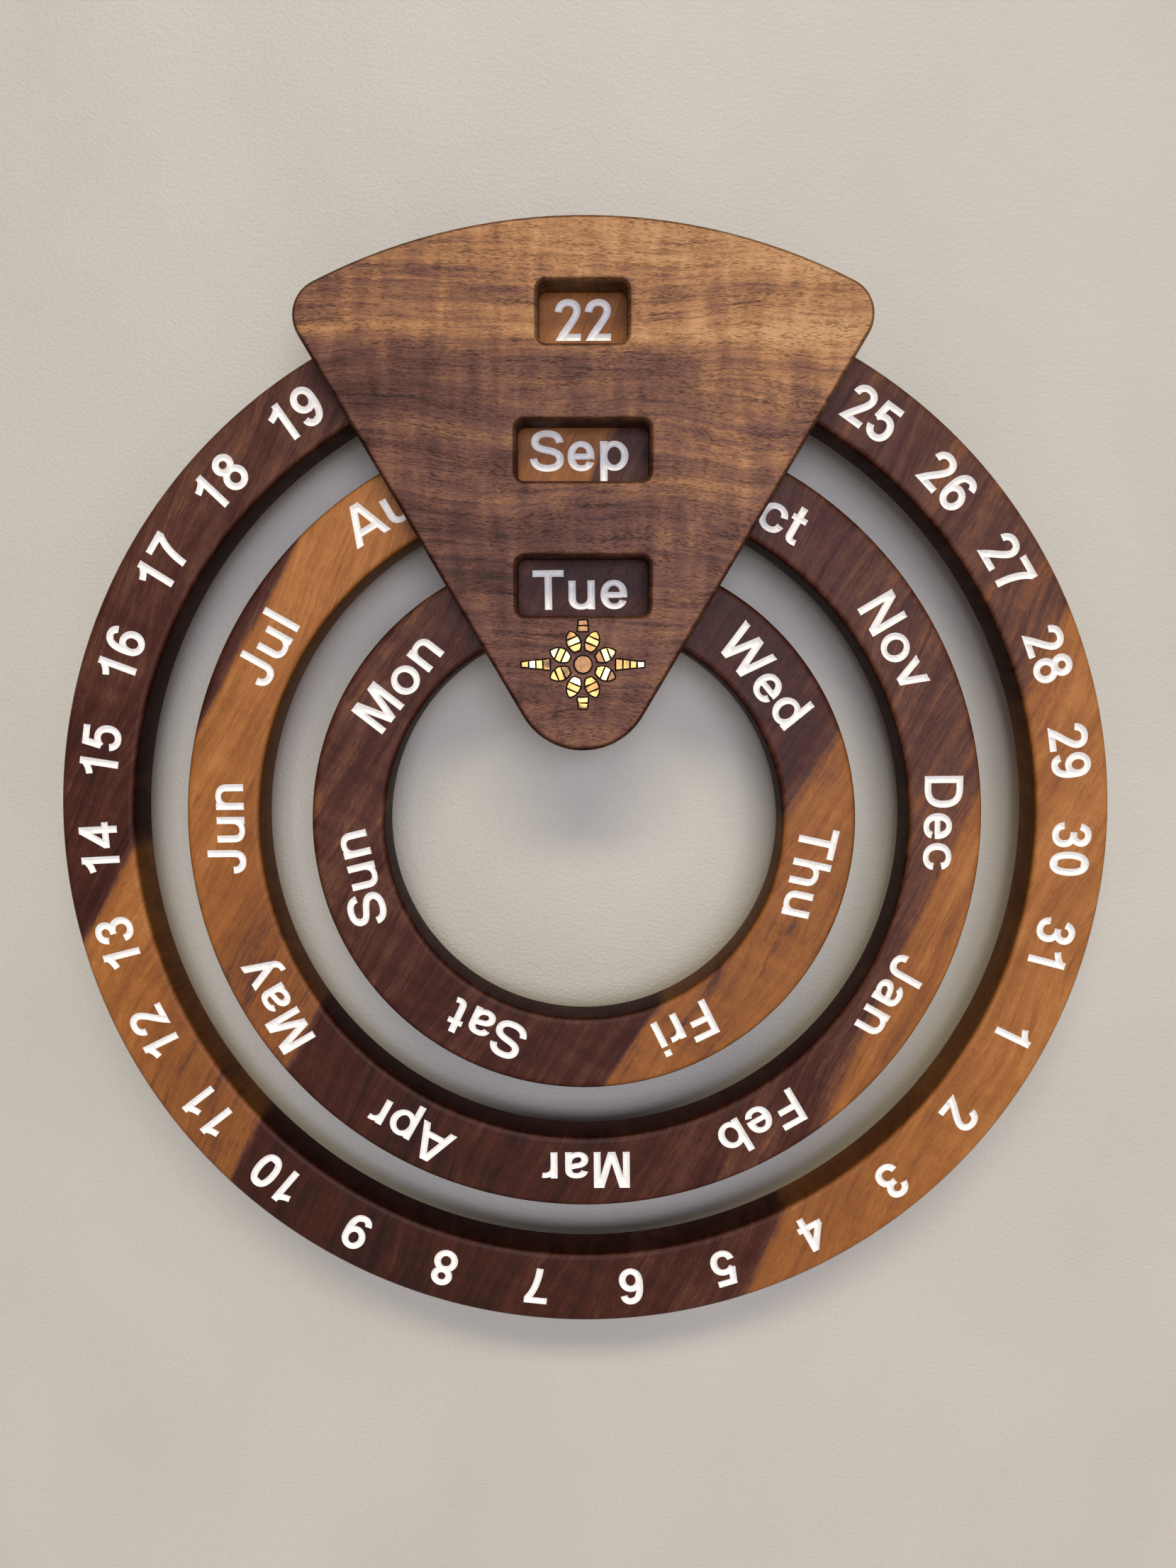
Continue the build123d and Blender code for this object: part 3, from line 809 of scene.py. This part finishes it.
weekday_angle = 90.7
weekday_radius = 88.8
weekday_names = ["Tue", "Wed", "Thu", "Fri", "Sat", "Sun", "Mon"]
weekday_turn = 174.0
weekday_shift = 5.0
weekday_bands = [(far + weekday_shift, light) for far, light in panel_bands]
weekday_walnut = walnut(
    "weekday_walnut", panel_angle + weekday_turn, weekday_bands, ring_tones, 11.0,
    follow=0.1, curl=0.9, figure=0.6, open_pores=0.3,
)
weekdays = []
for number, text in enumerate(weekday_names):
    weekdays += set_out(text, weekday_angle - number * 360 / 7, weekday_radius)
weekday_ring = carved_ring(
    "weekday_ring_carved", "weekday_ring", weekdays, weekday_walnut, white_paint
)
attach(weekday_ring, "weekdays")


# The wall board: plain walnut 12 mm thick, behind the rings and out of sight once the calendar
# hangs. It carries everything else.

plain_bands = [(-215.0, 0.42), (0.0, 0.5), (60.0, 0.38), (120.0, 0.52), (215.0, 0.44)]
back_walnut = walnut(
    "back_walnut", 1.0, plain_bands, ring_tones, 23.0, curl=0.5, open_pores=0.7, roughness=0.6
)
finish("wall_board", back_walnut)


# The saddles: curved blocks of the same walnut between the two boards, one inside each ring. The
# ring hangs on its saddle by its inner edge and turns there.

for name in ("date_saddle", "month_saddle", "weekday_saddle"):
    finish(name, back_walnut)


# The saddle screws: yellow zinc wood screws, 4 mm, countersunk with a cross recess. They go
# through the wall board and the saddles into the back of the front board.


def seats(*node_names):
    """The box of each separate solid of these CAD nodes, as (lowest, highest) corners."""
    boxes = []
    for name in node_names:
        model = bmesh.new()
        model.from_mesh(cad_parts[name].data)
        bmesh.ops.remove_doubles(model, verts=model.verts, dist=0.001 * MM)
        for group in islands(model):
            spots = np.array([vert.co[:] for vert in group])
            boxes.append((spots.min(0), spots.max(0)))
        model.free()
    return boxes


def islands(model):
    """The corners of each separate solid of a model, in a fixed order."""
    seen = set()
    groups = []
    for first in model.verts:
        if first in seen:
            continue
        seen.add(first)
        group = [first]
        for vert in group:
            for edge in vert.link_edges:
                other = edge.other_vert(vert)
                if other not in seen:
                    seen.add(other)
                    group.append(other)
        groups.append(group)
    return groups


zinc, tree, surface, place = material("yellow_zinc", 0.36, Metallic=0.6)
film = stretched_noise(tree, place, (1.6, 1.6, 1.6), 2.0)
tint = ramp(tree, film, [(0.3, "b59f5f"), (0.5, "c9b784"), (0.7, "bfae8d")])
tree.links.new(tint, surface.inputs["Base Color"])

screw_tree = bpy.data.node_groups.new("countersunk_screws", "GeometryNodeTree")
sizes = {}
screw_tree.interface.new_socket("Seats", in_out="INPUT", socket_type="NodeSocketGeometry")
for socket in ("Head radius", "Head depth", "Length"):
    sizes[socket] = screw_tree.interface.new_socket(
        socket, in_out="INPUT", socket_type="NodeSocketFloat"
    ).identifier
screw_tree.interface.new_socket("Screws", in_out="OUTPUT", socket_type="NodeSocketGeometry")
given = screw_tree.nodes.new("NodeGroupInput").outputs


def geometry_sum(operation, *values):
    """The result of one sum on the tree's sizes."""
    return math_node(screw_tree, operation, *values)


def moved_up(mesh, height):
    """The same mesh, `height` further along the screw."""
    shift = node(screw_tree, "ShaderNodeCombineXYZ", {"Z": height}).outputs[0]
    moving = {"Geometry": mesh, "Translation": shift}
    return node(screw_tree, "GeometryNodeTransform", moving).outputs[0]


# The head is a cone with a cross cut into it.
shank = geometry_sum("MULTIPLY", given["Head radius"], 0.5)
head = {
    "Vertices": 32,
    "Radius Top": shank,
    "Radius Bottom": given["Head radius"],
    "Depth": given["Head depth"],
}
head = node(screw_tree, "GeometryNodeMeshCone", head).outputs["Mesh"]
wing = node(
    screw_tree,
    "ShaderNodeCombineXYZ",
    {
        "X": geometry_sum("MULTIPLY", given["Head radius"], 1.1),
        "Y": geometry_sum("MULTIPLY", given["Head radius"], 0.24),
        "Z": given["Head depth"],
    },
).outputs[0]
wing = node(screw_tree, "GeometryNodeMeshCube", {"Size": wing}).outputs["Mesh"]
crossed = {"Geometry": wing, "Rotation": (0.0, 0.0, math.pi / 2)}
crossed = node(screw_tree, "GeometryNodeTransform", crossed).outputs[0]
recess = node(screw_tree, "GeometryNodeMeshBoolean", {"Mesh 1": head}, operation="DIFFERENCE")
screw_tree.links.new(wing, recess.inputs["Mesh 2"])
screw_tree.links.new(crossed, recess.inputs["Mesh 2"])

# The shank and its point follow it.
run = geometry_sum("SUBTRACT", given["Length"], given["Head depth"])
body_length = geometry_sum("MULTIPLY", run, 0.85)
point_length = geometry_sum("MULTIPLY", run, 0.15)
body = {"Vertices": 32, "Radius Top": shank, "Radius Bottom": shank, "Depth": body_length}
body = node(screw_tree, "GeometryNodeMeshCone", body).outputs["Mesh"]
point = {"Vertices": 32, "Radius Top": 0.0, "Radius Bottom": shank, "Depth": point_length}
point = node(screw_tree, "GeometryNodeMeshCone", point).outputs["Mesh"]
screw = node(screw_tree, "GeometryNodeJoinGeometry")
screw_tree.links.new(recess.outputs["Mesh"], screw.inputs[0])
screw_tree.links.new(moved_up(body, given["Head depth"]), screw.inputs[0])
point_height = geometry_sum("ADD", given["Head depth"], body_length)
screw_tree.links.new(moved_up(point, point_height), screw.inputs[0])

# One screw stands on each seat, turned as far as it happened to stop.
driven = node(
    screw_tree,
    "GeometryNodeInstanceOnPoints",
    {"Points": given["Seats"], "Instance": screw.outputs[0], "Rotation": (math.pi / 2, 0.0, 0.0)},
)
spin = node(
    screw_tree,
    "FunctionNodeRandomValue",
    {"Min": (0.0, 0.0, 0.0), "Max": (0.0, 0.0, math.pi), "Seed": 4},
    data_type="FLOAT_VECTOR",
)
spun = node(
    screw_tree,
    "GeometryNodeRotateInstances",
    {"Instances": driven.outputs[0], "Rotation": spin.outputs["Value"], "Local Space": True},
)
real = node(screw_tree, "GeometryNodeRealizeInstances", {0: spun.outputs[0]})
coating = {"Geometry": real.outputs[0], "Material": zinc}
coated = node(screw_tree, "GeometryNodeSetMaterial", coating)
screw_tree.links.new(coated.outputs[0], screw_tree.nodes.new("NodeGroupOutput").inputs[0])


def screws(name, node_names, head_share):
    """Screws in the places of these CAD nodes. The head's depth is `head_share` of its radius."""
    boxes = seats(*node_names)
    low, high = boxes[0]
    points = [((a[0] + b[0]) / 2, b[1], (a[2] + b[2]) / 2) for a, b in boxes]
    mesh = bpy.data.meshes.new(name + "_seats")
    mesh.from_pydata(points, [], [])
    holder = bpy.data.objects.new(name + "_seats", mesh)
    bpy.context.scene.collection.objects.link(holder)
    modifier = holder.modifiers.new("screws", "NODES")
    modifier.node_group = screw_tree
    head_radius = (high[0] - low[0]) / 2
    modifier[sizes["Head radius"]] = float(head_radius)
    modifier[sizes["Head depth"]] = float(head_radius * head_share)
    modifier[sizes["Length"]] = float(high[1] - low[1])
    seen = holder.evaluated_get(bpy.context.evaluated_depsgraph_get())
    plain = bpy.data.meshes.new_from_object(seen)
    bpy.data.objects.remove(holder)
    plain.name = name
    plain.set_sharp_from_angle(angle=math.radians(30))
    made = bpy.data.objects.new(name, plain)
    bpy.context.scene.collection.objects.link(made)
    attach(made, "frame")
    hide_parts(*node_names)


saddle_screw_nodes = ["date_saddle_screws", "month_saddle_screws", "weekday_saddle_screws"]
screws("saddle_screws", saddle_screw_nodes, head_share=0.65)


# The two keyhole hanger plates: zinc-plated steel, punched and let flush into the back of the wall
# board. The heads of two screws in the wall slip in behind them.

plate_steel, tree, surface, place = material("plate_steel", 0.34, Metallic=0.6)
brushing = stretched_noise(tree, place, (0.25, 2.0, 9.0), 2.0)
spangle = stretched_noise(tree, place, (5.0, 5.0, 5.0), 1.0)
mixed = math_node(tree, "MULTIPLY_ADD", brushing, 0.4, math_node(tree, "MULTIPLY", spangle, 0.6))
tint = ramp(tree, mixed, [(0.3, "a3a5a6"), (0.7, "c6c7c6")])
tree.links.new(tint, surface.inputs["Base Color"])
tree.links.new(math_node(tree, "MULTIPLY_ADD", brushing, 0.2, 0.24), surface.inputs["Roughness"])
finish("left_hanger_plate", plate_steel)
finish("right_hanger_plate", plate_steel)


# The hanger screws: two small countersunk screws in each plate, of the same zinc-plated kind and
# driven through it into the wall board.

screws("hanger_screws", ["left_hanger_screws", "right_hanger_screws"], head_share=0.5)


# The mosaic's bed: a dark, gritty compound that fills small pockets in the front board. It is seen
# as the outline round each tile.

grout, tree, surface, place = material("dark_grout", 0.85)
grit = stretched_noise(tree, place, (0.3, 0.3, 0.3), 3.0)
tint = ramp(tree, grit, [(0.3, "0d0a09"), (0.7, "231c18")])
tree.links.new(tint, surface.inputs["Base Color"])
finish("mosaic_bed", grout)


# The mosaic's tiles: slips of gold-backed glass, nipped to shape and pressed into the bed by hand.
# No two lie quite level, so each one throws the light back differently.

tile_tilt = 4.0
tile_twist = 3.0
tile_share = 0.96
rim_height = 0.4 * MM
rim_width = 0.14 * MM

gold_glass, tree, surface, place = material(
    "gold_glass", 0.16, Metallic=0.9, Coat_Weight=0.4, Coat_Roughness=0.04
)
# Each tile's lightness, from dark amber to near white, is partly the gold leaf's own tone and
# partly a painted reflection of the light it throws back.
leaf_and_glint_tone = node(tree, "ShaderNodeAttribute", attribute_name="leaf_and_glint").outputs["Fac"]
cloud = stretched_noise(tree, place, (2.2, 2.2, 2.2), 2.0)
shade = math_node(tree, "ADD", leaf_and_glint_tone, math_node(tree, "MULTIPLY_ADD", cloud, 0.36, -0.18))
gold_tones = [
    (0.0, "5a3917"),
    (0.25, "8e652b"),
    (0.5, "ab853f"),
    (0.75, "c9a860"),
    (1.0, "e8daae"),
]
tint = ramp(tree, shade, gold_tones)
tree.links.new(tint, surface.inputs["Base Color"])
waves = stretched_noise(tree, place, (6.5, 6.5, 6.5), 0.0)
bump = node(tree, "ShaderNodeBump", {"Height": waves, "Strength": 1.0, "Distance": 1.1 * MM})
tree.links.new(bump.outputs[0], surface.inputs["Normal"])

tile_nodes = [
    "centre_tile",
    "rosette_tiles",
    "left_arm_tiles",
    "right_arm_tiles",
    "upright_arm_tiles",
]
tile_model = bmesh.new()
for name in tile_nodes:
    tile_model.from_mesh(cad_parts[name].data)
bmesh.ops.remove_doubles(tile_model, verts=tile_model.verts, dist=0.001 * MM)
bmesh.ops.dissolve_limit(
    tile_model, angle_limit=math.radians(2), verts=tile_model.verts, edges=tile_model.edges
)
leaf_and_glint = tile_model.faces.layers.float.new("leaf_and_glint")
hand = random.Random(8)
face_depth = min(vert.co.y for vert in tile_model.verts)
for group in islands(tile_model):
    middle = sum((vert.co for vert in group), Vector()) / len(group)
    tilt = Matrix.Rotation(math.radians(hand.uniform(-tile_tilt, tile_tilt)), 4, "X")
    tilt @= Matrix.Rotation(math.radians(hand.uniform(-tile_tilt, tile_tilt)), 4, "Z")
    tilt @= Matrix.Rotation(math.radians(hand.uniform(-tile_twist, tile_twist)), 4, "Y")
    tilt @= Matrix.Diagonal((tile_share, 1.0, tile_share, 1.0))
    bmesh.ops.transform(tile_model, matrix=tilt, space=Matrix.Translation(-middle), verts=group)
    sink = face_depth - min(vert.co.y for vert in group)
    bmesh.ops.translate(tile_model, vec=(0.0, sink, 0.0), verts=group)
    # Each tile gets a lightness of its own: partly the gold leaf's tone, partly a painted
    # reflection standing in for the light it throws back.
    lightness = hand.choice((0.05, 0.25, 0.4, 0.5, 0.55, 0.65, 0.8, 0.95))
    for face in {face for vert in group for face in vert.link_faces}:
        face[leaf_and_glint] = lightness
front_rims = [
    edge
    for edge in tile_model.edges
    if all(vert.co.y < face_depth + rim_height for vert in edge.verts)
    and edge.calc_face_angle(0.0) > 1.0
]
bmesh.ops.bevel(
    tile_model, geom=front_rims, offset=rim_width, segments=2, profile=0.5, affect="EDGES"
)
tile_mesh = bpy.data.meshes.new("gold_tiles")
tile_model.to_mesh(tile_mesh)
tile_model.free()
tile_mesh.materials.clear()
tile_mesh.materials.append(gold_glass)
gold_tiles = bpy.data.objects.new("gold_tiles", tile_mesh)
bpy.context.scene.collection.objects.link(gold_tiles)
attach(gold_tiles, "frame")
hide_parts(*tile_nodes)
